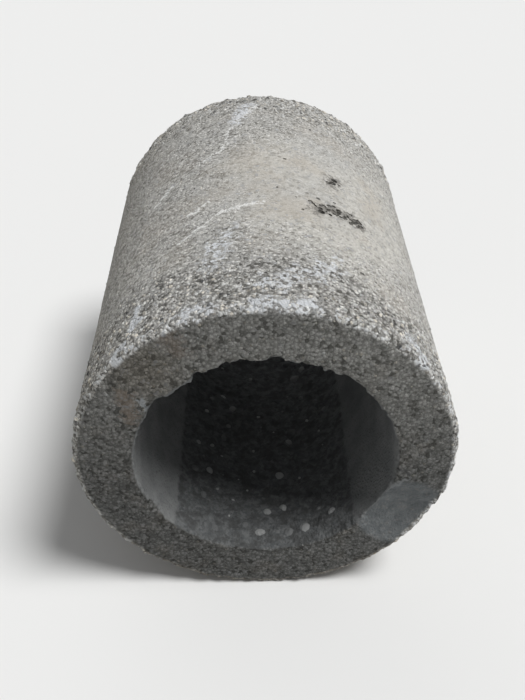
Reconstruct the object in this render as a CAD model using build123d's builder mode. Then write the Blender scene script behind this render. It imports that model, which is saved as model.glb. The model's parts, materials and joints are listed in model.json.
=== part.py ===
from build123d import *

import os
from math import cos, radians, sin, sqrt

# A plain-ended concrete sewer pipe, cast as one piece.
# It lies on its side along Y, with the origin on its axis at mid-length and +Z up.
# The end that faces -Y is the near end. All sizes are in millimetres.
# A clock angle is in degrees, from the top of the pipe towards +X.

# The casting
bore_diameter = 550.0
wall = 125.0
length = 1000.0

# Wear on the edges of both ends: the outer one is rubbed round, the bore's is only dulled
outer_arris = 14.0
bore_bevel = 4.0

# Bites broken out of the near end's two edges: depth into the faces, and width along the edge
small_bite_depth = 7.0
small_bite_width = 44.0
small_bore_bites = [-12, 4, 18, 28]

large_bite_depth = 17.0
large_bite_width = 76.0
large_bore_bites = [-119, -53, 40]

arris_bite_depth = 15.0
arris_bite_width = 160.0
arris_bites = [-66, 36]

# A wide, shallow scar on the near end, low on the +X side
scar_depth = 18.0
scar_width = 190.0
scar_clock = 118

bore_radius = bore_diameter / 2
barrel_radius = bore_radius + wall
near_end = -length / 2


def on_clock(radius, clock, y):
    """A point at a clock angle, at this radius from the axis."""
    angle = radians(clock)
    return (radius * sin(angle), y, radius * cos(angle))


def bite_ball(depth, width):
    """Radius of the ball that breaks a right-angled edge, and its centre's distance off both faces."""
    half = width / 2
    stand_off = (half**2 - depth**2) / (2 * depth)
    return sqrt(half**2 + 2 * stand_off**2), stand_off


def break_bore_edge(clocks, depth, width):
    """Bites out of the bore's edge at the near end."""
    ball, stand_off = bite_ball(depth, width)
    places = [on_clock(bore_radius - stand_off, clock, near_end - stand_off) for clock in clocks]
    with Locations(*places):
        Sphere(ball, mode=Mode.SUBTRACT)


def break_outer_edge(clocks, depth, width):
    """Bites out of the outer edge at the near end."""
    ball, stand_off = bite_ball(depth, width)
    places = [on_clock(barrel_radius + stand_off, clock, near_end - stand_off) for clock in clocks]
    with Locations(*places):
        Sphere(ball, mode=Mode.SUBTRACT)


def scar_near_end(clock, depth, width):
    """A dished scar in the near end's face, centred on the wall."""
    ball = ((width / 2) ** 2 + depth**2) / (2 * depth)
    with Locations(on_clock(bore_radius + wall / 2, clock, near_end + depth - ball)):
        Sphere(ball, mode=Mode.SUBTRACT)


with BuildPart() as pipe:
    with BuildSketch(Plane.XY) as wall_section:
        with Locations((bore_radius + wall / 2, 0)):
            Rectangle(wall, length)
        bore_corners = wall_section.vertices().group_by(Axis.X)[0]
        chamfer(bore_corners, bore_bevel)
        outer_corners = wall_section.vertices().group_by(Axis.X)[-1]
        fillet(outer_corners, outer_arris)
    revolve(axis=Axis.Y)

    break_bore_edge(small_bore_bites, small_bite_depth, small_bite_width)
    break_bore_edge(large_bore_bites, large_bite_depth, large_bite_width)
    break_outer_edge(arris_bites, arris_bite_depth, arris_bite_width)
    scar_near_end(scar_clock, scar_depth, scar_width)

pipe.part.label = "pipe"

os.makedirs("parts", exist_ok=True)
export_step(pipe.part, "parts/pipe.step")
print("pipe: volume", round(pipe.part.volume / 1e9, 4), "m3")
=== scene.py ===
# %% [markdown]
# # A weathered concrete sewer pipe
# The real pipe is one casting: a thick tube with plain, square-cut ends that has lain outdoors
# for years. The rain has washed the cement skin off the sand and gravel near its ends, its edges
# are rubbed round and broken in places, and the bore has dark soil caked along its bottom.
# The notebook shapes that tube as a mesh, roughens it where the weather did, and then paints it
# with procedural materials. Everything is in metres, with the bore along Y and +Z up.

# %% Load the frame
import json
from math import cos, pi, radians, sin, sqrt

import bmesh
import bpy
import numpy as np
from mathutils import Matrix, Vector


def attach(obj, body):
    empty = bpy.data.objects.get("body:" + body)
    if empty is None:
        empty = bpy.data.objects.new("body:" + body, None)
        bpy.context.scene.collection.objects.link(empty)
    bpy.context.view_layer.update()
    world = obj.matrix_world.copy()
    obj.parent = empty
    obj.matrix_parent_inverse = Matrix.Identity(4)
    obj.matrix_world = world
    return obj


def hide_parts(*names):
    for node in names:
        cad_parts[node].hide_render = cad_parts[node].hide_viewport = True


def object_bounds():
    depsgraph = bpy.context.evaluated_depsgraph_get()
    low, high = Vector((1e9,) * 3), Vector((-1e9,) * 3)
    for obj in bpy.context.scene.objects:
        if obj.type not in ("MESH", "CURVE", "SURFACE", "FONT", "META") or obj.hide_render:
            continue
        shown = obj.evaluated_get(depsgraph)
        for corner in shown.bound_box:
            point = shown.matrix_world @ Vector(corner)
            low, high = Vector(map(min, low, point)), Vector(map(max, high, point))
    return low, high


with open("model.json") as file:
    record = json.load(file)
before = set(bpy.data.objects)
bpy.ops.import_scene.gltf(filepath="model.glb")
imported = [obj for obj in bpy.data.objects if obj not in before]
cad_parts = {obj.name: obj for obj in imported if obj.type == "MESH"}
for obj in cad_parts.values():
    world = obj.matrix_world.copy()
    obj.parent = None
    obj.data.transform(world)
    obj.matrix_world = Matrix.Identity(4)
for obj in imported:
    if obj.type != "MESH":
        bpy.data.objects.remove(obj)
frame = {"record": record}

cad_low, cad_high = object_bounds()
print("CAD box:", tuple(cad_low), tuple(cad_high))

# %% [markdown]
# ## Sizes
# The pipe's own sizes come from the mounts that the record states: the bore, and the barrel
# round the outside. Wear is measured on the photograph: the outer edge is rubbed to a radius of
# about 14 mm, while the bore's edge is still nearly sharp.

# %% The casting's sizes
mounts = {mount["name"]: mount for mount in frame["record"]["mounts"]}
bore_radius = mounts["bore"]["dims"]["r_mm"] / 1000
outer_radius = mounts["barrel"]["dims"]["r_mm"] / 1000
length = cad_high.y - cad_low.y
near_end = -length / 2
far_end = length / 2
wall = outer_radius - bore_radius
mid_wall = bore_radius + wall / 2
outer_arris = 0.014
bore_bevel = 0.004
print(f"bore {bore_radius * 2:.3f} m, outside {outer_radius * 2:.3f} m, length {length:.3f} m")

# %% [markdown]
# ## Helpers for modelling
# An operator acts on whatever is selected, so each step first deselects everything and then
# selects what it needs by place. These helpers keep that to one line in the cells below.
# Cutting is always the same too: join the cutters, take them away with a boolean, remove them.


# %% Selecting objects, and vertices by place
def use_only(piece):
    """Selects one object and makes it the active one."""
    bpy.ops.object.select_all(action="DESELECT")
    piece.select_set(True)
    bpy.context.view_layer.objects.active = piece


def select_vertices(piece, wanted):
    """In edit mode, selects the vertices whose place passes the test, and nothing else."""
    bpy.ops.mesh.select_mode(type="VERT")
    bpy.ops.mesh.select_all(action="DESELECT")
    edited = bmesh.from_edit_mesh(piece.data)
    for vertex in edited.verts:
        vertex.select_set(wanted(vertex.co))
    edited.select_flush_mode()
    bmesh.update_edit_mesh(piece.data)


def finish_with(piece, kind, **settings):
    """Adds one modifier, sets it and applies it."""
    use_only(piece)
    bpy.ops.object.modifier_add(type=kind)
    modifier = piece.modifiers[-1]
    for name, value in settings.items():
        setattr(modifier, name, value)
    bpy.ops.object.modifier_apply(modifier=modifier.name)


# %% Joining, cutting and counting
def join(pieces):
    """Makes one object of several, and returns it."""
    bpy.ops.object.select_all(action="DESELECT")
    for piece in pieces:
        piece.select_set(True)
    bpy.context.view_layer.objects.active = pieces[0]
    bpy.ops.object.join()
    return pieces[0]


def cut(piece, cutter):
    """Takes the cutter's shape out of the piece, and removes the cutter."""
    finish_with(piece, "BOOLEAN", operation="DIFFERENCE", object=cutter, solver="MANIFOLD")
    bpy.data.objects.remove(cutter)


def count_triangles(piece):
    """How many triangles the piece's faces come to."""
    return sum(len(face.vertices) - 2 for face in piece.data.polygons)


# %% [markdown]
# ## The tube
# A pipe is a section turned about its axis, so the start is a flat rectangle, as wide as the
# wall and as long as the pipe, standing off the axis by the bore's radius. Its two outer corners
# are rounded and its two bore corners get a small bevel. Only its outline is kept, because the
# spin sweeps edges into a skin, and a filled section would leave a wall inside.

# %% Draw the section and spin it round the bore's axis
bpy.ops.object.select_all(action="DESELECT")
bpy.ops.mesh.primitive_plane_add(size=1, location=(mid_wall, 0, 0))
pipe = bpy.context.object
pipe.name = "weathered_pipe"
pipe.scale = (wall, length, 1)
bpy.ops.object.transform_apply(location=True, rotation=False, scale=True)

bpy.ops.object.mode_set(mode="EDIT")
select_vertices(pipe, lambda place: place.x > mid_wall)
bpy.ops.mesh.bevel(offset=outer_arris, segments=4, affect="VERTICES")
select_vertices(pipe, lambda place: place.x < bore_radius + 0.001)
bpy.ops.mesh.bevel(offset=bore_bevel, segments=1, affect="VERTICES")
bpy.ops.mesh.select_all(action="SELECT")
bpy.ops.mesh.delete(type="ONLY_FACE")
bpy.ops.mesh.select_all(action="SELECT")
bpy.ops.mesh.spin(steps=360, angle=2 * pi, center=(0, 0, 0), axis=(0, 1, 0))
bpy.ops.mesh.select_all(action="SELECT")
bpy.ops.mesh.remove_doubles(threshold=0.0001)
bpy.ops.mesh.normals_make_consistent(inside=False)
bpy.ops.object.mode_set(mode="OBJECT")
print("tube:", len(pipe.data.polygons), "faces")

# %% [markdown]
# ## Bites out of the near end
# Concrete breaks off an edge in shell-shaped flakes, which a large ball cuts well: it enters both
# faces by the same depth and runs out along the edge. A wide scar low on the near end's +X side
# is one more ball. A clock angle is in degrees, from the top of the pipe towards +X.


# %% Where the edges broke, and the balls that cut them
def on_clock(radius, clock, y):
    """The point at a clock angle, at this radius from the axis."""
    return Vector((radius * sin(radians(clock)), y, radius * cos(radians(clock))))


def edge_bites(clocks, depth, width, edge_radius, outwards):
    """Balls that break the near end's edge at this radius, each a centre and a radius.
    outwards is 1 for the barrel's edge and -1 for the bore's."""
    half = width / 2
    stand_off = (half**2 - depth**2) / (2 * depth)
    ball = sqrt(half**2 + 2 * stand_off**2)
    centre_radius = edge_radius + outwards * stand_off
    return [(on_clock(centre_radius, clock, near_end - stand_off), ball) for clock in clocks]


scar_depth = 0.018
scar_width = 0.190
scar_clock = 118
scar_ball = ((scar_width / 2) ** 2 + scar_depth**2) / (2 * scar_depth)
scar_place = on_clock(mid_wall, scar_clock, near_end + scar_depth - scar_ball)

bites = edge_bites([-12, 4, 18, 28], depth=0.007, width=0.044, edge_radius=bore_radius, outwards=-1)
bites += edge_bites([-119, -53, 40], depth=0.017, width=0.076, edge_radius=bore_radius, outwards=-1)
bites += edge_bites([-66, 36], depth=0.015, width=0.160, edge_radius=outer_radius, outwards=1)
bites += [(scar_place, scar_ball)]

balls = []
for centre, ball_radius in bites:
    bpy.ops.mesh.primitive_ico_sphere_add(subdivisions=6, radius=ball_radius, location=centre)
    balls.append(bpy.context.object)
cut(pipe, join(balls))
print("bites:", len(bites), "cut, leaving", len(pipe.data.polygons), "faces")

# %% [markdown]
# ## A ragged lip
# Between the large bites the bore's edge has lost single stones, which leaves short, angular
# notches. Many small rocks with flat facets, turned at random, cut them. The far end gets the
# same wear, but less of it. The seed makes every run draw the same numbers.

# %% Cut many small rocks at once
dice = np.random.default_rng(11)


def cut_rocks(piece, rocks, subdivisions, grid):
    """Cuts out small rocks, each a place and a radius, turned and stretched at random. Remeshing
    the joined rocks on a fine grid first turns those that overlap into one clean skin."""
    made = []
    for place, size in rocks:
        bpy.ops.mesh.primitive_ico_sphere_add(
            subdivisions=subdivisions, radius=size, location=place, rotation=dice.uniform(0, 2 * pi, 3)
        )
        bpy.ops.transform.resize(value=dice.uniform(0.8, 1.4, 3))
        made.append(bpy.context.object)
    cutter = join(made)
    finish_with(cutter, "REMESH", mode="VOXEL", voxel_size=grid)
    cut(piece, cutter)


# %% Angular rocks along both ends' bore edges
large_notch = 0.015
middle_notch = 0.009
small_notch = 0.007
large_notch_clocks = [-57, -50, -28.5, -16, -9, 4, 14, 22, 33, 38]
notches = [(near_end, clock, large_notch) for clock in large_notch_clocks]
notches += [(near_end, clock, middle_notch) for clock in dice.uniform(-62, 52, 26)]
notches += [(near_end, clock, small_notch) for clock in dice.uniform(60, 296, 26)]
notches += [(far_end, clock, middle_notch) for clock in dice.uniform(0, 360, 34)]

rocks = []
for end, clock, size in notches:
    size *= dice.uniform(0.45, 1.25)
    sink = bore_radius + dice.uniform(-0.7, 0.2) * size
    rocks.append((on_clock(sink, clock, end), size))
cut_rocks(pipe, rocks, subdivisions=1, grid=0.002)
print("notches:", len(notches), "cut, leaving", len(pipe.data.polygons), "faces")

# %% [markdown]
# ## Weathered relief
# A voxel remesh turns the tube into even little squares that a displacement can push about. Each
# displacement is limited to a vertex group, so that the broken, washed and smooth places each get
# their own roughness.

# %% Even squares all over
voxel = 0.004
finish_with(pipe, "REMESH", mode="VOXEL", voxel_size=voxel)
print("remeshed:", len(pipe.data.polygons), "faces")


# %% Vertex groups from a formula, and a displacement that reads one
def smooth_step(value, low, high):
    """0 at low, 1 at high, and a smooth rise between them. low may be the larger number."""
    share = np.clip((value - low) / (high - low), 0, 1)
    return share * share * (3 - 2 * share)


def weigh(piece, name, weights, levels=30):
    """A vertex group with one weight for each vertex, rounded to one of the levels."""
    group = piece.vertex_groups.new(name=name)
    rounded = np.round(weights * levels).astype(int)
    for level in range(1, levels + 1):
        group.add(np.flatnonzero(rounded == level).tolist(), level / levels, "REPLACE")


def roughen(piece, group, size, strength, middle=0.5):
    """Pushes the surface along its normals by soft noise, as far as the group allows. size is that
    of the lumps and strength the height between the lowest and the highest, both in metres."""
    texture = bpy.data.textures.new(f"{group} {size}", type="CLOUDS")
    texture.noise_scale = size
    finish_with(
        piece,
        "DISPLACE",
        texture=texture,
        texture_coords="LOCAL",
        strength=strength,
        mid_level=middle,
        vertex_group=group,
    )


def read_places(piece):
    """Every vertex's place, distance to the axis, clock angle and place along the pipe."""
    places = np.empty(len(piece.data.vertices) * 3)
    piece.data.vertices.foreach_get("co", places)
    places = places.reshape(-1, 3)
    clock = np.degrees(np.arctan2(places[:, 0], places[:, 2]))
    return places, np.hypot(places[:, 0], places[:, 2]), clock, places[:, 1]


# %% [markdown]
# The rain washed a band at each end, and the band's inner border wanders round the pipe. Broken
# places lie on the balls that cut them. Rubbed edges and the ragged rim are found by their
# distance to the edge, and a short stretch of the lip stands out between two bites. Dried soil
# reaches up the bore's wall as far as the photograph shows it.

# %% The bore, and the bands that the rain washed
places, radius, clock, along = read_places(pipe)
in_bore = smooth_step(radius, bore_radius + 0.006, bore_radius + 0.001)
washed_band = 0.17
wander = 0.035 * np.sin(np.radians(clock * 2 + 40)) + 0.02 * np.sin(np.radians(clock * 5))
near_band = smooth_step(along + wander, near_end + 1.4 * washed_band, near_end + 0.5 * washed_band)
far_band = smooth_step(along + wander, far_end - washed_band, far_end - 0.3 * washed_band)
washed = np.maximum(near_band, far_band) * (1 - in_bore)


# %% Broken places, edges and dried soil
def off_ball(centre, ball_radius):
    """How far outside a ball each vertex is."""
    return np.linalg.norm(places - np.array(centre), axis=1) - ball_radius


broken = np.zeros(len(places))
for centre, ball_radius in bites:
    broken = np.maximum(broken, smooth_step(off_ball(centre, ball_radius), 0.006, 0.001))
in_scar = smooth_step(off_ball(scar_place, scar_ball), 0.008, 0.003)

off_rim = np.hypot(radius - bore_radius, np.abs(along) - length / 2)
rim = smooth_step(off_rim, 0.022, 0.004)
lip_clock = -39.5
at_lip_clock = smooth_step(np.abs(clock - lip_clock), 10, 6)
lip = smooth_step(off_rim, 0.030, 0.010) * (along < 0) * at_lip_clock
off_arris = np.hypot(radius - outer_radius, np.abs(along) - length / 2)
arris = smooth_step(off_arris, 0.045, 0.012)

soil_edge = 133.5
caked = in_bore * smooth_step(np.abs(clock), soil_edge, soil_edge + 14)
caked *= smooth_step(np.abs(along), length / 2 - 0.002, length / 2 - 0.05)

# %% A vertex group for each kind of roughness
weigh(pipe, "all", np.ones(len(places)))
weigh(pipe, "outside", 1 - in_bore)
weigh(pipe, "washed", washed * (1 - 0.7 * in_scar))
weigh(pipe, "broken", broken)
weigh(pipe, "rim", rim)
weigh(pipe, "lip", lip)
weigh(pipe, "arris", arris)
weigh(pipe, "caked", caked)

# %% Where single stones stand out: thick in the washed bands, thinner on the faces and the barrel
patch_clock = 24
patch_along = -0.01
off_smooth_patch = np.hypot((clock - patch_clock) / 38, (along - patch_along) / 0.27)
smooth_patch = smooth_step(off_smooth_patch, 1.25, 0.8)
worn = 0.12 * (1 - smooth_patch) * smooth_step(radius, outer_radius - 0.008, outer_radius - 0.004)
on_end = smooth_step(radius, outer_radius - 0.004, outer_radius - 0.014)
stony = np.maximum(washed * (1 - 0.93 * in_scar) * (1 - 0.6 * on_end), worn)
weigh(pipe, "stony near", np.where(along < 0, stony, 0))
weigh(pipe, "stony far", np.where(along > 0, stony, 0))

# %% Push the surface about: the lip evenly, and everything else by noise
finish_with(pipe, "DISPLACE", strength=0.006, mid_level=0, vertex_group="lip")
roughen(pipe, "all", size=0.15, strength=0.003)
roughen(pipe, "outside", size=0.03, strength=0.0022)
roughen(pipe, "washed", size=0.022, strength=0.005)
roughen(pipe, "washed", size=0.009, strength=0.003)
roughen(pipe, "arris", size=0.028, strength=0.009)
roughen(pipe, "broken", size=0.014, strength=0.006)
roughen(pipe, "rim", size=0.010, strength=0.009)
roughen(pipe, "caked", size=0.02, strength=0.012, middle=0.1)

# %% [markdown]
# The even squares are far more than the shape needs on its smooth stretches. Decimating by
# collapse keeps them small where the relief is strong.

# %% Thin the mesh to what a part may hold
most_triangles = 160_000
triangles = count_triangles(pipe)
finish_with(pipe, "DECIMATE", ratio=min(1, most_triangles / triangles))
print("thinned:", triangles, "to", count_triangles(pipe), "triangles")

# %% [markdown]
# ## Pits and chips
# Single stones and a patch of loose mortar have come out of the barrel's top, on its +X side.
# Small rocks cut those pits after the thinning, so that their edges stay crisp. The photograph
# gives the places of the larger pits, and smaller ones are strewn between those of the patch.

# %% Where the pits are: clock angle, place along the pipe, radius
pits = [
    (15.2, -0.079, 0.006),
    (18.0, -0.058, 0.006),
    (18.6, -0.116, 0.009),
    (20.8, -0.098, 0.005),
    (21.6, -0.076, 0.006),
    (23.2, -0.101, 0.007),
    (23.8, -0.052, 0.005),
    (24.9, -0.084, 0.007),
    (26.6, -0.107, 0.006),
    (27.6, -0.090, 0.007),
    (28.8, -0.117, 0.006),
    (29.4, -0.075, 0.006),
    (30.4, -0.100, 0.008),
    (31.6, -0.088, 0.004),
    (33.2, -0.106, 0.006),
    (12.4, -0.125, 0.004),
    (14.4, -0.044, 0.004),
    (10.6, -0.072, 0.003),
    (4.8, -0.037, 0.004),
    (8.0, 0.110, 0.005),
    (22.8, 0.043, 0.006),
    (24.6, 0.048, 0.008),
    (25.4, 0.066, 0.009),
    (27.0, 0.052, 0.005),
    (29.4, -0.313, 0.006),
    (-23.0, 0.017, 0.004),
]
patch_middle = -0.096
for pit_clock in dice.uniform(16, 33, 36):
    pits.append((pit_clock, dice.normal(patch_middle, 0.010), dice.uniform(0.003, 0.006)))

# %% Cut the pits with rocks whose middle is a little under the surface
rocks = []
for pit_clock, pit_along, size in pits:
    rocks.append((on_clock(outer_radius - 0.3 * size, pit_clock, pit_along), size))
cut_rocks(pipe, rocks, subdivisions=2, grid=0.0015)
print("pits:", len(pits), "cut")

# %% [markdown]
# Crisp chips break the near lip once more, most of them high on its +X side. Each is cut where the
# lip is lowest for someone who looks down into the bore, because that line is the edge they see.

# %% Crisp chips out of the near lip's lowest edge
places, radius, clock, along = read_places(pipe)
sight_slope = 0.7
large_chip = 0.0085
small_chip = 0.0065
chips = [(chip_clock, large_chip) for chip_clock in dice.uniform(9, 37, 18)]
chips += [(chip_clock, small_chip) for chip_clock in dice.uniform(-66, 60, 40)]
rocks = []
for chip_clock, largest in chips:
    at_lip = np.flatnonzero((np.abs(clock - chip_clock) < 0.7) & (along < near_end + 0.03))
    setback = along[at_lip] - near_end
    seen_radius = radius[at_lip] + sight_slope * cos(radians(chip_clock)) * setback
    lowest = at_lip[np.argmin(seen_radius)]
    rocks.append((Vector(places[lowest]), dice.uniform(0.5, 1.0) * largest))
cut_rocks(pipe, rocks, subdivisions=1, grid=0.0013)
use_only(pipe)
bpy.ops.object.shade_smooth_by_angle(angle=radians(50))
print("chips:", len(rocks), "cut, leaving", count_triangles(pipe), "triangles")

# %% Seat it in the frame
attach(pipe, "root")
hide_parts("pipe")

# %% [markdown]
# ## A short way to write node trees
# A procedural material is a recipe: noise and cells for the pattern, ramps for where it shows,
# and mixes for the colour. The helper below adds one node for each step and links what it is
# given, so that the recipe can be read from top to bottom. Geometry nodes are written with the
# same helper.


# %% The recipe helper
class Recipe:
    """Adds nodes to one tree. A step takes numbers, colours and the outputs of other steps."""

    def __init__(self, tree):
        self.tree = tree

    def wire(self, inputs, wired):
        """Links or sets each input by its name or number. Where inputs share a name, the one in use
        counts."""
        for name, value in wired.items():
            socket = inputs[name]
            if isinstance(name, str) and not socket.enabled:
                socket = next(other for other in inputs if other.name == name and other.enabled)
            if isinstance(value, bpy.types.NodeSocket):
                self.tree.links.new(value, socket)
            else:
                socket.default_value = value

    def node(self, kind, wired, **settings):
        """One node. wired gives its inputs by name or by number."""
        made = self.tree.nodes.new(kind)
        for name, value in settings.items():
            setattr(made, name, value)
        self.wire(made.inputs, wired)
        return made.outputs

    def math(self, operation, *values):
        """Arithmetic on numbers."""
        return self.node("ShaderNodeMath", dict(enumerate(values)), operation=operation)[0]

    def vector(self, operation, *values):
        """Arithmetic on places. A length, distance or dot product is a number."""
        made = self.node("ShaderNodeVectorMath", dict(enumerate(values)), operation=operation)
        return made["Value" if operation in ("LENGTH", "DISTANCE", "DOT_PRODUCT") else "Vector"]

    def scaled(self, direction, factor):
        """A direction made longer or shorter."""
        return self.node("ShaderNodeVectorMath", {0: direction, "Scale": factor}, operation="SCALE")[0]

    def rise(self, value, low, high, bottom=0.0, top=1.0):
        """A smooth rise from bottom to top as the value goes from low to high."""
        limits = {"Value": value, "From Min": low, "From Max": high, "To Min": bottom, "To Max": top}
        return self.node("ShaderNodeMapRange", limits, interpolation_type="SMOOTHSTEP")["Result"]

    def mix(self, share, one, other, way="MIX"):
        """Two colours, with this share of the other. way is the layer's blend mode."""
        wired = {0: share, 6: one, 7: other}
        return self.node("ShaderNodeMix", wired, data_type="RGBA", blend_type=way)[2]

    def tint(self, colour, by):
        """A colour multiplied by another."""
        return self.mix(1.0, colour, by, "MULTIPLY")

    def rest(self, share):
        """What a share leaves of 1."""
        return self.math("SUBTRACT", 1.0, share)

    def noise(self, place, size, detail=3.0, roughness=0.5):
        """Soft noise between 0 and 1, with patches of about this size in metres."""
        wired = {"Vector": place, "Scale": 1 / size, "Detail": detail, "Roughness": roughness}
        return self.node("ShaderNodeTexNoise", wired)[0]

    def group(self, tree, wired):
        """A node group made below."""
        return self.node("ShaderNodeGroup", wired, node_tree=tree)

    def draw(self, low, high, seed):
        """In geometry nodes, a random number between low and high for each point."""
        return self.node("FunctionNodeRandomValue", {2: low, 3: high, "Seed": seed})[1]

    def draw_vector(self, low, high, seed):
        """In geometry nodes, three random numbers for each point, each with its own low and high."""
        wired = {0: low, 1: high, "Seed": seed}
        return self.node("FunctionNodeRandomValue", wired, data_type="FLOAT_VECTOR")[0]


# %% [markdown]
# ## Exposed stones
# Where the rain has washed the cement skin away, near both ends and on the end faces, the sand
# and gravel stand out as close-packed rounded stones. Geometry nodes scatter them: points spread
# over the pipe's own faces at an even spacing, and a small squashed ball on each, sunk into the
# surface. A stone has only 20 flat faces, and a pebble in the dried soil has 80 smooth ones. Each
# keeps a random number that the material turns into its tone.


# %% Scatter stones over one vertex group of a piece
def scatter_stones(name, carrier, group, spacing, sizes, seed, subdivisions=1):
    """A new piece of stones on the carrier, as dense and as large as its vertex group allows.
    sizes are the smallest and the largest stone's, in metres."""
    use_only(carrier)
    bpy.ops.object.duplicate()
    stones = bpy.context.object
    stones.name = name

    tree = bpy.data.node_groups.new(name, "GeometryNodeTree")
    tree.interface.new_socket("Geometry", in_out="INPUT", socket_type="NodeSocketGeometry")
    tree.interface.new_socket("Geometry", in_out="OUTPUT", socket_type="NodeSocketGeometry")
    recipe = Recipe(tree)

    # Points on the carrier's faces, at least the spacing apart
    ground = recipe.node("NodeGroupInput", {})[0]
    weight = recipe.node("GeometryNodeInputNamedAttribute", {"Name": group}, data_type="FLOAT")[0]
    spread = {
        "Mesh": ground,
        "Distance Min": spacing,
        "Density Max": 1.5 / spacing**2,
        "Density Factor": weight,
        "Seed": seed,
    }
    points = recipe.node("GeometryNodeDistributePointsOnFaces", spread, distribute_method="POISSON")

    # A ball one metre wide, and each stone's own size and proportions
    ball = recipe.node("GeometryNodeMeshIcoSphere", {"Radius": 0.5, "Subdivisions": subdivisions})["Mesh"]
    worn_round = {"Geometry": ball, "Shade Smooth": subdivisions > 1}
    ball = recipe.node("GeometryNodeSetShadeSmooth", worn_round)[0]
    smallest, largest = sizes
    bigness = recipe.math("POWER", recipe.draw(0.0, 1.0, seed + 1), 1.6)
    size = recipe.math("MULTIPLY_ADD", bigness, largest - smallest, smallest)
    size = recipe.math("MULTIPLY", size, recipe.math("MULTIPLY_ADD", weight, 0.5, 0.5))
    shape = recipe.draw_vector((0.75, 0.75, 0.55), (1.25, 1.25, 0.95), seed + 2)
    scale = recipe.scaled(shape, size)

    # Turned about, tilted a little and sunk by a fifth of its size
    turn = recipe.draw_vector((-0.5, -0.5, 0.0), (0.5, 0.5, 2 * pi), seed + 3)
    turn = recipe.node("FunctionNodeEulerToRotation", {0: turn})[0]
    lie = {"Rotation": points["Rotation"], "Rotate By": turn}
    lie = recipe.node("FunctionNodeRotateRotation", lie, rotation_space="LOCAL")[0]
    sink = recipe.scaled(points["Normal"], recipe.math("MULTIPLY", size, -0.2))
    sunk = recipe.node("GeometryNodeSetPosition", {"Geometry": points["Points"], "Offset": sink})[0]
    placed = {"Points": sunk, "Instance": ball, "Rotation": lie, "Scale": scale}
    placed = recipe.node("GeometryNodeInstanceOnPoints", placed)[0]

    # The tone, kept on the mesh for the material
    tone = recipe.draw(0.05, 1.0, seed + 4)
    toned = {"Geometry": placed, "Name": "tone", "Value": tone}
    toned = recipe.node("GeometryNodeStoreNamedAttribute", toned, domain="INSTANCE", data_type="FLOAT")[0]
    real = recipe.node("GeometryNodeRealizeInstances", {0: toned})[0]
    recipe.node("NodeGroupOutput", {0: real})

    finish_with(stones, "NODES", node_group=tree)
    stones.vertex_groups.clear()
    return stones


stone_sizes = (0.005, 0.014)
pebble_sizes = (0.006, 0.030)
near_stones = scatter_stones("near_stones", pipe, "stony near", 0.0078, stone_sizes, seed=3)
far_stones = scatter_stones("far_stones", pipe, "stony far", 0.0082, stone_sizes, seed=23)
soil_pebbles = scatter_stones("soil_pebbles", pipe, "caked", 0.036, pebble_sizes, seed=43, subdivisions=2)
stone_pieces = (near_stones, far_stones, soil_pebbles)
for piece in stone_pieces:
    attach(piece, "root")
    print(piece.name, count_triangles(piece), "triangles")

# %% [markdown]
# ## Effects that the finish is mixed from
# Washed concrete is grains of sand and stone in a paler or darker paste. A cell pattern gives
# each grain its own tone and a domed height. Scratches and lime runs are straight strokes on the
# unrolled barrel, so one stroke group, placed many times, draws them all.


# %% A new node group
def new_group(name, inputs, outputs):
    """An empty node group with named sockets. Returns it with its recipe, its inputs and its outputs."""
    group = bpy.data.node_groups.new(name, "ShaderNodeTree")
    for socket, kind in inputs.items():
        group.interface.new_socket(socket, in_out="INPUT", socket_type="NodeSocket" + kind)
    for socket, kind in outputs.items():
        group.interface.new_socket(socket, in_out="OUTPUT", socket_type="NodeSocket" + kind)
    given = group.nodes.new("NodeGroupInput").outputs
    result = group.nodes.new("NodeGroupOutput").inputs
    return group, Recipe(group), given, result


# %% Grains
grains, recipe, given, result = new_group(
    "Grains", {"Place": "Vector", "Size": "Float"}, {"Tone": "Float", "Dome": "Float"}
)
wobble = recipe.node("ShaderNodeTexNoise", {"Vector": given["Place"], "Scale": 90.0})["Color"]
shifted = recipe.vector("MULTIPLY_ADD", wobble, (0.004, 0.004, 0.004), given["Place"])
scale = recipe.math("DIVIDE", 1.0, given["Size"])
cells = recipe.node("ShaderNodeTexVoronoi", {"Vector": shifted, "Scale": scale})
recipe.wire(result, {"Tone": recipe.node("ShaderNodeSeparateColor", {0: cells["Color"]})[0]})
recipe.wire(result, {"Dome": recipe.rise(cells["Distance"], 0.65, 0.1)})

# %% A stroke on the unrolled barrel
stroke, recipe, given, result = new_group(
    "Stroke",
    {"Place": "Vector", "Start": "Vector", "Run": "Vector", "Width": "Float"},
    {"Mask": "Float"},
)
off_start = recipe.vector("SUBTRACT", given["Place"], given["Start"])
along_run = recipe.vector("DOT_PRODUCT", off_start, given["Run"])
run_squared = recipe.vector("DOT_PRODUCT", given["Run"], given["Run"])
share = recipe.math("DIVIDE", along_run, run_squared)
share = recipe.math("MINIMUM", recipe.math("MAXIMUM", share, 0.0), 1.0)
nearest = recipe.scaled(given["Run"], share)
gap = recipe.vector("DISTANCE", off_start, nearest)
recipe.wire(result, {"Mask": recipe.rise(gap, given["Width"], 0.0)})

# %% Where a point of the pipe is
where, recipe, given, result = new_group(
    "Where on the pipe",
    {"Place": "Vector"},
    {"Radius": "Float", "Unrolled": "Vector", "Along": "Float", "Height": "Float"},
)
across, along_pipe, up = recipe.node("ShaderNodeSeparateXYZ", {0: given["Place"]})
flat = recipe.vector("MULTIPLY", given["Place"], (1.0, 0.0, 1.0))
turn = recipe.math("ARCTAN2", across, up)
around = recipe.math("MULTIPLY", turn, outer_radius)
unrolled = recipe.node("ShaderNodeCombineXYZ", {0: around, 1: along_pipe})[0]
found = {"Radius": recipe.vector("LENGTH", flat), "Unrolled": unrolled, "Along": along_pipe, "Height": up}
recipe.wire(result, found)

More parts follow.
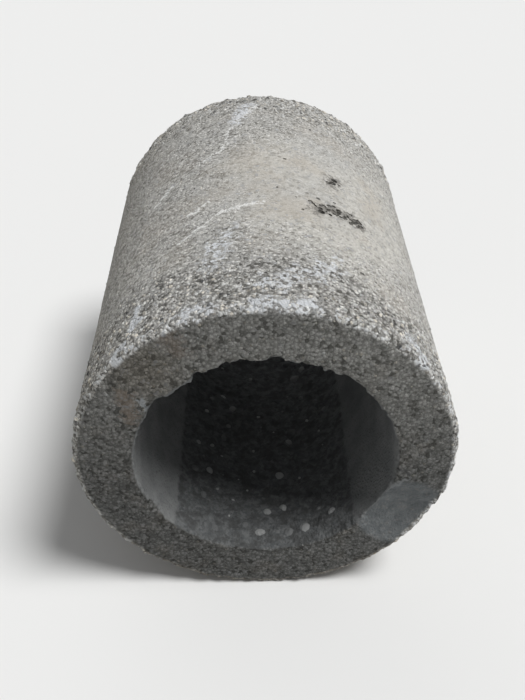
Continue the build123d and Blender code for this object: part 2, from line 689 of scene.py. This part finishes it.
# %% [markdown]
# ## Weathered concrete
# The barrel is light grey where the cement skin is whole and speckled near the ends, where it is
# washed off. The end faces are darker and browner, partly because they stay damp and partly by
# painted shade, which is deepest low down and towards -X. The bore's wall is smooth and grey
# above the line that the soil left. Each zone is found from the point's distance to the axis and
# its place along the pipe. The stones share the recipe: their tone is above zero.
# Sizes, widths and places are in metres. A colour is built up by mixes, each of which lays one
# more effect over the last, as far as its mask or its share says.

# %% Start the concrete
concrete = bpy.data.materials.new("weathered concrete")
concrete.use_nodes = True
recipe = Recipe(concrete.node_tree)
place = recipe.node("ShaderNodeTexCoord", {})["Object"]
spot = recipe.group(where, {"Place": place})
drift = recipe.noise(place, 0.06, 4.0)
patches = recipe.noise(place, 0.22, 3.0)
mottle = recipe.noise(place, 0.025, 5.0, 0.65)
speckle = recipe.noise(place, 0.008, 3.0, 0.6)

# %% Zones: barrel, bore, and the washed bands, whose borders wander with the noise
barrel_zone = recipe.rise(spot["Radius"], outer_radius - 0.016, outer_radius - 0.006)
bore_zone = recipe.rise(spot["Radius"], bore_radius + 0.005, bore_radius + 0.001)
side = recipe.node("ShaderNodeSeparateXYZ", {0: spot["Unrolled"]})[0]
near_edge = recipe.math("MULTIPLY_ADD", drift, 0.16, near_end + 0.09)
near_edge = recipe.math("SUBTRACT", near_edge, recipe.rise(side, 0.10, 0.28, 0.0, 0.06))
near_washed = recipe.rise(recipe.math("SUBTRACT", spot["Along"], near_edge), 0.07, -0.03)
far_edge = recipe.math("MULTIPLY_ADD", drift, -0.14, far_end - 0.05)
far_washed = recipe.rise(recipe.math("SUBTRACT", spot["Along"], far_edge), -0.07, 0.03)
washed_zone = recipe.math("MAXIMUM", near_washed, recipe.math("MULTIPLY", far_washed, 0.65))

# Off the smooth patch on the top, whose border is at about 1, the barrel is half washed
patch_centre = (outer_radius * radians(patch_clock), patch_along, 0)
off_patch = recipe.vector("SUBTRACT", spot["Unrolled"], patch_centre)
off_patch = recipe.vector("LENGTH", recipe.vector("MULTIPLY", off_patch, (3.8, 3.7, 0)))
speckled = recipe.rise(recipe.math("ADD", off_patch, drift), 1.2, 1.9, 0.0, 0.5)
washed_zone = recipe.math("MAXIMUM", washed_zone, speckled)

# %% Cement skin, blotched and speckled, and speckled most off the smooth patch
fine = recipe.group(grains, {"Place": place, "Size": 0.0035})
coarse = recipe.group(grains, {"Place": place, "Size": 0.0075})
skin = recipe.mix(recipe.rise(patches, 0.35, 0.65), (0.53, 0.515, 0.475, 1), (0.46, 0.455, 0.435, 1))
skin = recipe.mix(recipe.rise(mottle, 0.44, 0.64, 0.0, 0.42), skin, (0.33, 0.315, 0.285, 1))
skin = recipe.mix(recipe.rise(coarse["Tone"], 0.7, 1.0, 0.0, 0.5), skin, (0.64, 0.63, 0.61, 1))
skin = recipe.mix(recipe.rise(coarse["Tone"], 0.2, 0.0, 0.0, 0.6), skin, (0.22, 0.21, 0.19, 1))
rough_skin = recipe.rise(recipe.math("ADD", off_patch, drift), 1.0, 1.8, 0.3, 1.0)
light_specks = recipe.math("MULTIPLY", recipe.rise(fine["Tone"], 0.75, 1.0), rough_skin)
skin = recipe.mix(light_specks, skin, (0.82, 0.81, 0.78, 1))
dark_specks = recipe.math("MULTIPLY", recipe.rise(fine["Tone"], 0.25, 0.0), rough_skin)
skin = recipe.mix(dark_specks, skin, (0.12, 0.116, 0.104, 1))
earthy = recipe.rise(recipe.noise(place, 0.12, 4.0), 0.45, 0.68, 0.0, 0.45)
skin = recipe.mix(earthy, skin, (0.47, 0.425, 0.36, 1))

# %% Washed grains in their paste, with painted shade in the gaps between them and in the holes of grains that are missing
grain_tone = recipe.math("MULTIPLY_ADD", coarse["Tone"], 0.6, recipe.math("MULTIPLY", fine["Tone"], 0.4))
grain_tone = recipe.rise(grain_tone, 0.15, 0.85)
paste = recipe.mix(grain_tone, (0.20, 0.197, 0.187, 1), (0.84, 0.83, 0.80, 1))
even_paste = recipe.mix(grain_tone, (0.25, 0.248, 0.236, 1), (0.54, 0.534, 0.515, 1))
paste = recipe.mix(barrel_zone, even_paste, paste)
# Painted shade: near black in the gaps round the grains
paste = recipe.mix(recipe.rise(coarse["Dome"], 0.4, 0.0, 0.0, 0.52), paste, (0.09, 0.088, 0.08, 1))
# Painted shade: some cells near black, as holes where grains are missing
paste = recipe.mix(recipe.rise(coarse["Tone"], 0.14, 0.08, 0.0, 0.8), paste, (0.08, 0.078, 0.07, 1))
paste = recipe.mix(recipe.math("MULTIPLY", washed_zone, 0.9), skin, paste)

# %% Stones, more alike on the damp faces than on the barrel
tone = recipe.node("ShaderNodeAttribute", {}, attribute_name="tone")["Fac"]
is_stone = recipe.math("GREATER_THAN", tone, 0.01)
stone = recipe.mix(recipe.rise(tone, 0.05, 0.9), (0.19, 0.187, 0.177, 1), (0.80, 0.79, 0.765, 1))
plain_stone = recipe.mix(recipe.rise(tone, 0.05, 0.9), (0.29, 0.287, 0.275, 1), (0.46, 0.455, 0.44, 1))
stone = recipe.mix(barrel_zone, plain_stone, stone)
vivid = recipe.math("MULTIPLY_ADD", barrel_zone, 0.8, 0.2)
dark_stone = recipe.math("MULTIPLY", recipe.rise(tone, 0.20, 0.12), vivid)
stone = recipe.mix(dark_stone, stone, (0.085, 0.085, 0.086, 1))
brightness = recipe.math("MULTIPLY_ADD", far_washed, 0.12, tone)
bright_stone = recipe.math("MULTIPLY", recipe.rise(brightness, 0.86, 0.94), vivid)
stone = recipe.mix(bright_stone, stone, (0.86, 0.85, 0.83, 1))
hue = recipe.math("FRACT", recipe.math("MULTIPLY", tone, 13.0))
hue = recipe.mix(recipe.rise(hue, 0.2, 0.8), (1.0, 0.94, 0.84, 1), (0.95, 0.98, 1.0, 1))
stone = recipe.mix(0.8, stone, recipe.tint(stone, hue))
stone = recipe.mix(recipe.rise(speckle, 0.4, 0.7, 0.0, 0.35), stone, (0.36, 0.345, 0.315, 1))

# %% Paste and stones together, in lighter and darker clumps
body = recipe.mix(is_stone, paste, stone)
clumps = recipe.mix(recipe.rise(mottle, 0.42, 0.60), (0.76, 0.755, 0.745, 1), (1.12, 1.12, 1.12, 1))
clumped = recipe.math("MULTIPLY", washed_zone, recipe.math("MULTIPLY_ADD", barrel_zone, 0.8, 0.2))
body = recipe.mix(clumped, body, recipe.tint(body, clumps))

# %% End faces, damp and in painted shade: darker low down and to the left, rusty at one place, dusty in the scar
# Painted shade, with the damp: the end faces are dimmed, and dimmed most low down
damp_and_painted_shade = recipe.mix(recipe.rise(spot["Height"], 0.33, -0.1), (0.58, 0.585, 0.575, 1), (0.30, 0.306, 0.306, 1))
damp_and_painted_shade = recipe.mix(recipe.rise(drift, 0.5, 0.75, 0.0, 0.4), damp_and_painted_shade, (0.38, 0.355, 0.325, 1))
rust_place = on_clock(0.350, -42, near_end)
off_rust = recipe.vector("DISTANCE", place, tuple(rust_place))
rusty = recipe.rise(recipe.math("MULTIPLY_ADD", drift, 0.08, off_rust), 0.15, 0.06, 0.0, 0.6)
damp_and_painted_shade = recipe.mix(rusty, damp_and_painted_shade, (0.41, 0.37, 0.31, 1))
off_scar = recipe.vector("DISTANCE", place, tuple(on_clock(mid_wall, scar_clock, near_end)))
scarred = recipe.rise(recipe.math("MULTIPLY_ADD", mottle, 0.02, off_scar), 0.118, 0.098)
# Painted light and shade: the end face lighter towards +X and darker towards -X
painted_side_light = recipe.rise(recipe.node("ShaderNodeSeparateXYZ", {0: place})[0], -0.30, 0.35)
painted_side_light = recipe.mix(painted_side_light, (0.94, 0.94, 0.94, 1), (1.15, 1.15, 1.15, 1))
face = recipe.tint(body, recipe.tint(damp_and_painted_shade, painted_side_light))
dusty = recipe.mix(recipe.rise(mottle, 0.3, 0.7), (0.11, 0.12, 0.124, 1), (0.165, 0.177, 0.182, 1))
face = recipe.mix(recipe.math("MULTIPLY", scarred, 0.85), face, dusty)

# %% Uneven noise, by which every mark and stroke frays and breaks up
uneven = recipe.math("MULTIPLY_ADD", coarse["Tone"], 0.55, recipe.math("MULTIPLY", mottle, 0.75))
uneven = recipe.math("MULTIPLY_ADD", speckle, 0.98, uneven)

# %% Marks on the near end's face: rust, a chalky corner, the scar's pale edge and a painted shadow along its top step
push = recipe.node("ShaderNodeTexNoise", {"Vector": place, "Scale": 45.0, "Detail": 4.0})["Color"]
push = recipe.vector("MULTIPLY", recipe.vector("SUBTRACT", push, (0.5, 0.5, 0.5)), (0.05, 0.0, 0.05))
on_face = recipe.vector("ADD", recipe.vector("MULTIPLY", place, (1.0, 0.0, 1.0)), push)
near_side = recipe.rise(spot["Along"], near_end + 0.05, near_end + 0.03)

# Each mark: its start and its end on the face in x and z, its width, its share and its colour
face_marks = [
    ((-0.266, 0.135), (-0.276, 0.197), 0.034, 0.55, (0.165, 0.128, 0.098, 1)),
    ((-0.190, 0.366), (-0.160, 0.304), 0.036, 0.40, (0.165, 0.128, 0.098, 1)),
    ((-0.243, 0.182), (-0.236, 0.150), 0.012, 0.70, (0.30, 0.32, 0.33, 1)),
    ((0.258, -0.090), (0.306, -0.048), 0.010, 0.50, (0.24, 0.25, 0.255, 1)),
    # Painted shadow: a near-black line along the step at the scar's top edge
    ((0.268, -0.008), (0.302, -0.033), 0.010, 0.60, (0.05, 0.052, 0.053, 1)),
]
for (x_start, z_start), (x_end, z_end), width, share, mark in face_marks:
    start = Vector((x_start, 0, z_start))
    run = Vector((x_end, 0, z_end)) - start
    mask = recipe.group(stroke, {"Place": on_face, "Start": start, "Run": run, "Width": width})[0]
    mask = recipe.rise(recipe.math("MULTIPLY_ADD", mask, 0.8, uneven), 1.30, 1.80, 0.0, share)
    face = recipe.mix(recipe.math("MULTIPLY", mask, near_side), face, mark)

# %% Bore, and the dried soil under the line that it left
bore = recipe.mix(recipe.rise(drift, 0.3, 0.7), (0.145, 0.15, 0.151, 1), (0.20, 0.205, 0.202, 1))
bore = recipe.mix(recipe.rise(fine["Tone"], 0.2, 0.0, 0.0, 0.5), bore, (0.09, 0.09, 0.09, 1))
soil_level = bore_radius * cos(radians(soil_edge))
soil_line = recipe.math("MULTIPLY_ADD", mottle, 0.02, soil_level - 0.01)
soil_zone = recipe.rise(recipe.math("SUBTRACT", spot["Height"], soil_line), 0.004, -0.004)
soil = recipe.mix(coarse["Tone"], (0.085, 0.09, 0.092, 1), (0.15, 0.155, 0.155, 1))
soil = recipe.mix(recipe.rise(mottle, 0.42, 0.62, 0.0, 0.8), soil, (0.06, 0.061, 0.060, 1))
pebble = recipe.mix(recipe.rise(tone, 0.1, 0.9), (0.10, 0.104, 0.105, 1), (0.36, 0.365, 0.36, 1))
bore = recipe.mix(soil_zone, bore, recipe.mix(is_stone, soil, pebble))

# %% Where the barrel is scratched, limed and bared: points of (clock angle, place along the pipe)
rubbed_lines = [
    [(-1.4, 0.427), (-8.9, 0.316), (-12.0, 0.279), (-12.6, 0.198), (-15.5, 0.165), (-22.0, 0.134)],
    [(0.4, -0.107), (-7.6, -0.121), (-12.4, -0.131), (-15.9, -0.148), (-19.0, -0.171), (-26.4, -0.208)],
    [(-31.8, 0.085), (-34.7, 0.065), (-36.0, 0.050), (-38.9, 0.033)],
    [(-17.5, -0.077), (-19.9, -0.087), (-21.5, -0.101), (-24.2, -0.100)],
]
lime_runs = [
    [(-9.6, -0.223), (-13.3, -0.282), (-16.4, -0.343)],
    [(19.9, -0.311), (11.9, -0.377), (6.5, -0.402), (-2.5, -0.430)],
]
crust_lines = [
    [(-22.0, -0.475), (-15.5, -0.481)],
    [(-2.0, -0.481), (5.0, -0.484), (12.0, -0.480)],
    [(44.0, -0.446), (49.0, -0.478)],
    [(-5.0, 0.430), (-9.0, 0.330)],
]
drip_lines = [
    [(-39.2, -0.376), (-39.6, -0.436)],
    [(-38.6, -0.410), (-37.6, -0.428)],
    [(-45.4, -0.470), (-46.4, -0.496), (-44.8, -0.500)],
    [(-45.4, -0.470), (-42.5, -0.462)],
]
bared_lines = [
    [(17.0, -0.112), (22.0, -0.092), (27.5, -0.088), (33.0, -0.106)],
    [(25.0, 0.066), (24.0, 0.044)],
]


# %% Strokes with frayed edges along such lines
def frayed(size, reach):
    """The unrolled place, pushed about by noise of this size as far as reach."""
    push = recipe.node("ShaderNodeTexNoise", {"Vector": place, "Scale": 1 / size, "Detail": 4.0})["Color"]
    push = recipe.vector("SUBTRACT", push, (0.5, 0.5, 0.5))
    return recipe.vector("MULTIPLY_ADD", push, (reach, reach, 0.0), spot["Unrolled"])


rubbed_place = frayed(0.018, 0.030)
lime_place = frayed(0.040, 0.110)


def strokes(lines, width, unrolled):
    """All the strokes along some lines, as one mask."""
    mask = 0.0
    for line in lines:
        points = [Vector((outer_radius * radians(turned), along, 0)) for turned, along in line]
        for start, end in zip(points, points[1:]):
            drawn = {"Place": unrolled, "Start": start, "Run": end - start, "Width": width}
            mask = recipe.math("MAXIMUM", mask, recipe.group(stroke, drawn)[0])
    return mask


# %% Scratches, lime runs and bared patches on the barrel
rubbed = recipe.math("MULTIPLY_ADD", strokes(rubbed_lines, 0.012, rubbed_place), 0.56, uneven)
scratched = recipe.rise(rubbed, 1.40, 1.66)
run_down = recipe.math("MULTIPLY_ADD", strokes(lime_runs, 0.042, lime_place), 0.36, uneven)
limed = recipe.rise(run_down, 1.34, 1.62)
crusted = strokes(crust_lines, 0.034, rubbed_place)
crust = recipe.math("MULTIPLY_ADD", crusted, 0.46, uneven)
limed = recipe.math("MAXIMUM", limed, recipe.rise(crust, 1.36, 1.64))
limed = recipe.math("MAXIMUM", limed, recipe.math("MULTIPLY", crusted, 0.15))
drips = recipe.math("MULTIPLY_ADD", strokes(drip_lines, 0.016, rubbed_place), 0.85, uneven)
limed = recipe.math("MAXIMUM", limed, recipe.rise(drips, 1.35, 1.65))
barrel = recipe.mix(recipe.math("MULTIPLY", scratched, 0.8), body, (0.80, 0.80, 0.78, 1))
barrel = recipe.mix(recipe.math("MULTIPLY", limed, 0.8), barrel, (0.72, 0.745, 0.78, 1))
bared = recipe.math("MULTIPLY_ADD", strokes(bared_lines, 0.034, rubbed_place), 0.6, uneven)
bared = recipe.rise(bared, 1.30, 1.55, 0.0, 0.8)
barrel = recipe.mix(bared, barrel, (0.17, 0.16, 0.145, 1))

# %% White broken edge, painted shade in the pits and on the -X flank, and splashed earth lower down
edge_band = recipe.rise(spot["Along"], near_end + 0.035, near_end + 0.008)
edge_white = recipe.rise(recipe.math("MULTIPLY_ADD", edge_band, 0.24, uneven), 1.44, 1.70)
barrel = recipe.mix(recipe.math("MULTIPLY", edge_white, 0.75), barrel, (0.68, 0.70, 0.72, 1))
# Painted shade: near black in the pits and hollows below the barrel's surface, off the washed bands
painted_pit_shade = recipe.rise(spot["Radius"], outer_radius - 0.0035, outer_radius - 0.0055)
painted_pit_shade = recipe.math("MULTIPLY", painted_pit_shade, recipe.rest(washed_zone))
barrel = recipe.mix(recipe.math("MULTIPLY", painted_pit_shade, 0.9), barrel, (0.06, 0.058, 0.052, 1))

# Painted shade: the barrel darker on its -X flank
painted_flank_shade = recipe.rise(side, -0.24, -0.42, 0.0, 0.85)
barrel = recipe.mix(painted_flank_shade, barrel, recipe.tint(barrel, (0.76, 0.75, 0.72, 1)))
low_down = recipe.math("MULTIPLY_ADD", patches, 0.35, spot["Height"])
splashed = recipe.rise(low_down, 0.02, -0.16, 0.0, 0.75)
barrel = recipe.mix(splashed, barrel, recipe.tint(barrel, (0.66, 0.60, 0.52, 1)))

# %% Put the zones together
colour = recipe.mix(barrel_zone, face, barrel)
colour = recipe.mix(bore_zone, colour, bore)

# %% Fine relief of the grains, as a bump
paste_height = recipe.math("MULTIPLY_ADD", washed_zone, 0.8, 0.2)
coarse_height = recipe.math("MULTIPLY", coarse["Dome"], paste_height)
height = recipe.math("MULTIPLY_ADD", fine["Dome"], 0.4, coarse_height)
rough_zone = recipe.math("MAXIMUM", washed_zone, recipe.rest(barrel_zone))
calm_zone = recipe.math("MAXIMUM", bore_zone, scarred)
rough_zone = recipe.math("MULTIPLY", rough_zone, recipe.rest(calm_zone))
crumbs = recipe.math("MULTIPLY", recipe.noise(place, 0.006, 3.0, 0.7), rough_zone)
height = recipe.math("MULTIPLY_ADD", crumbs, 3.0, height)
bump = recipe.node("ShaderNodeBump", {"Height": height, "Distance": 0.002, "Strength": 0.8})["Normal"]

# %% Finish the concrete and put it on every piece
shader = concrete.node_tree.nodes["Principled BSDF"].inputs
shader["Roughness"].default_value = 0.92
shader["Specular IOR Level"].default_value = 0.25
recipe.wire(shader, {"Base Color": colour, "Normal": bump})
for piece in (pipe, *stone_pieces):
    piece.data.materials.clear()
    piece.data.materials.append(concrete)
print("concrete:", len(concrete.node_tree.nodes), "nodes")

# %% [markdown]
# ## Floor, light and camera
# The floor is plain and pale, and touches the pipe's lowest line. A wide, soft lamp far overhead,
# a little to the right and in front, does what an overcast sky does: the top is bright, the near
# end is in soft shade, and the light rakes down over its stones. A weak one behind keeps the far
# end readable. The background looks pale grey to the camera, and lights the scene only dimly. The
# camera has the photographer's place, and is turned so that the whole pipe is in view.

# %% Floor
bpy.ops.object.select_all(action="DESELECT")
bpy.ops.mesh.primitive_plane_add(size=60, location=(0, 0, cad_low.z))
floor = bpy.context.object
floor.name = "floor"

floor_paint = bpy.data.materials.new("pale floor")
floor_paint.use_nodes = True
floor_shader = floor_paint.node_tree.nodes["Principled BSDF"].inputs
floor_shader["Base Color"].default_value = (0.82, 0.82, 0.81, 1)
floor_shader["Roughness"].default_value = 0.9
floor_shader["Specular IOR Level"].default_value = 0.1
floor.data.materials.append(floor_paint)


# %% Lamps
def far_lamp(name, direction, strength, softness):
    """A lamp so far off that its light comes from one direction, and as wide as softness in degrees."""
    lamp = bpy.data.lights.new(name, type="SUN")
    lamp.energy = strength
    lamp.angle = radians(softness)
    holder = bpy.data.objects.new(name, lamp)
    holder.rotation_euler = Vector(direction).to_track_quat("Z", "Y").to_euler()
    bpy.context.collection.objects.link(holder)


far_lamp("overhead", (0.40, -0.15, 0.90), 2.8, 22)
far_lamp("behind", (-0.3, 0.8, 0.5), 0.25, 60)

# %% Pale background
world = bpy.data.worlds.new("studio")
bpy.context.scene.world = world
world.use_nodes = True
sky = world.node_tree.nodes["Background"].inputs
sky["Color"].default_value = (0.97, 0.98, 1, 1)
recipe = Recipe(world.node_tree)
rays = recipe.node("ShaderNodeLightPath", {})
seen = recipe.math("MAXIMUM", rays["Is Camera Ray"], rays["Is Glossy Ray"])
seen = recipe.math("MAXIMUM", seen, rays["Is Transmission Ray"])
light_strength = 0.20
seen_strength = 0.82
brighter = seen_strength - light_strength
recipe.wire(sky, {"Strength": recipe.math("MULTIPLY_ADD", seen, brighter, light_strength)})

# %% Camera
camera_place = Vector((-0.028, -1.719, 1.267))
camera_aim = Vector((0.0, -0.09, -0.02))
camera_data = bpy.data.cameras.new("camera")
camera_data.lens = 43
camera = bpy.data.objects.new("camera", camera_data)
camera.location = camera_place
camera.rotation_euler = (camera_aim - camera_place).to_track_quat("-Z", "Y").to_euler()
bpy.context.collection.objects.link(camera)
bpy.context.scene.camera = camera
bpy.context.scene.view_settings.view_transform = "Standard"
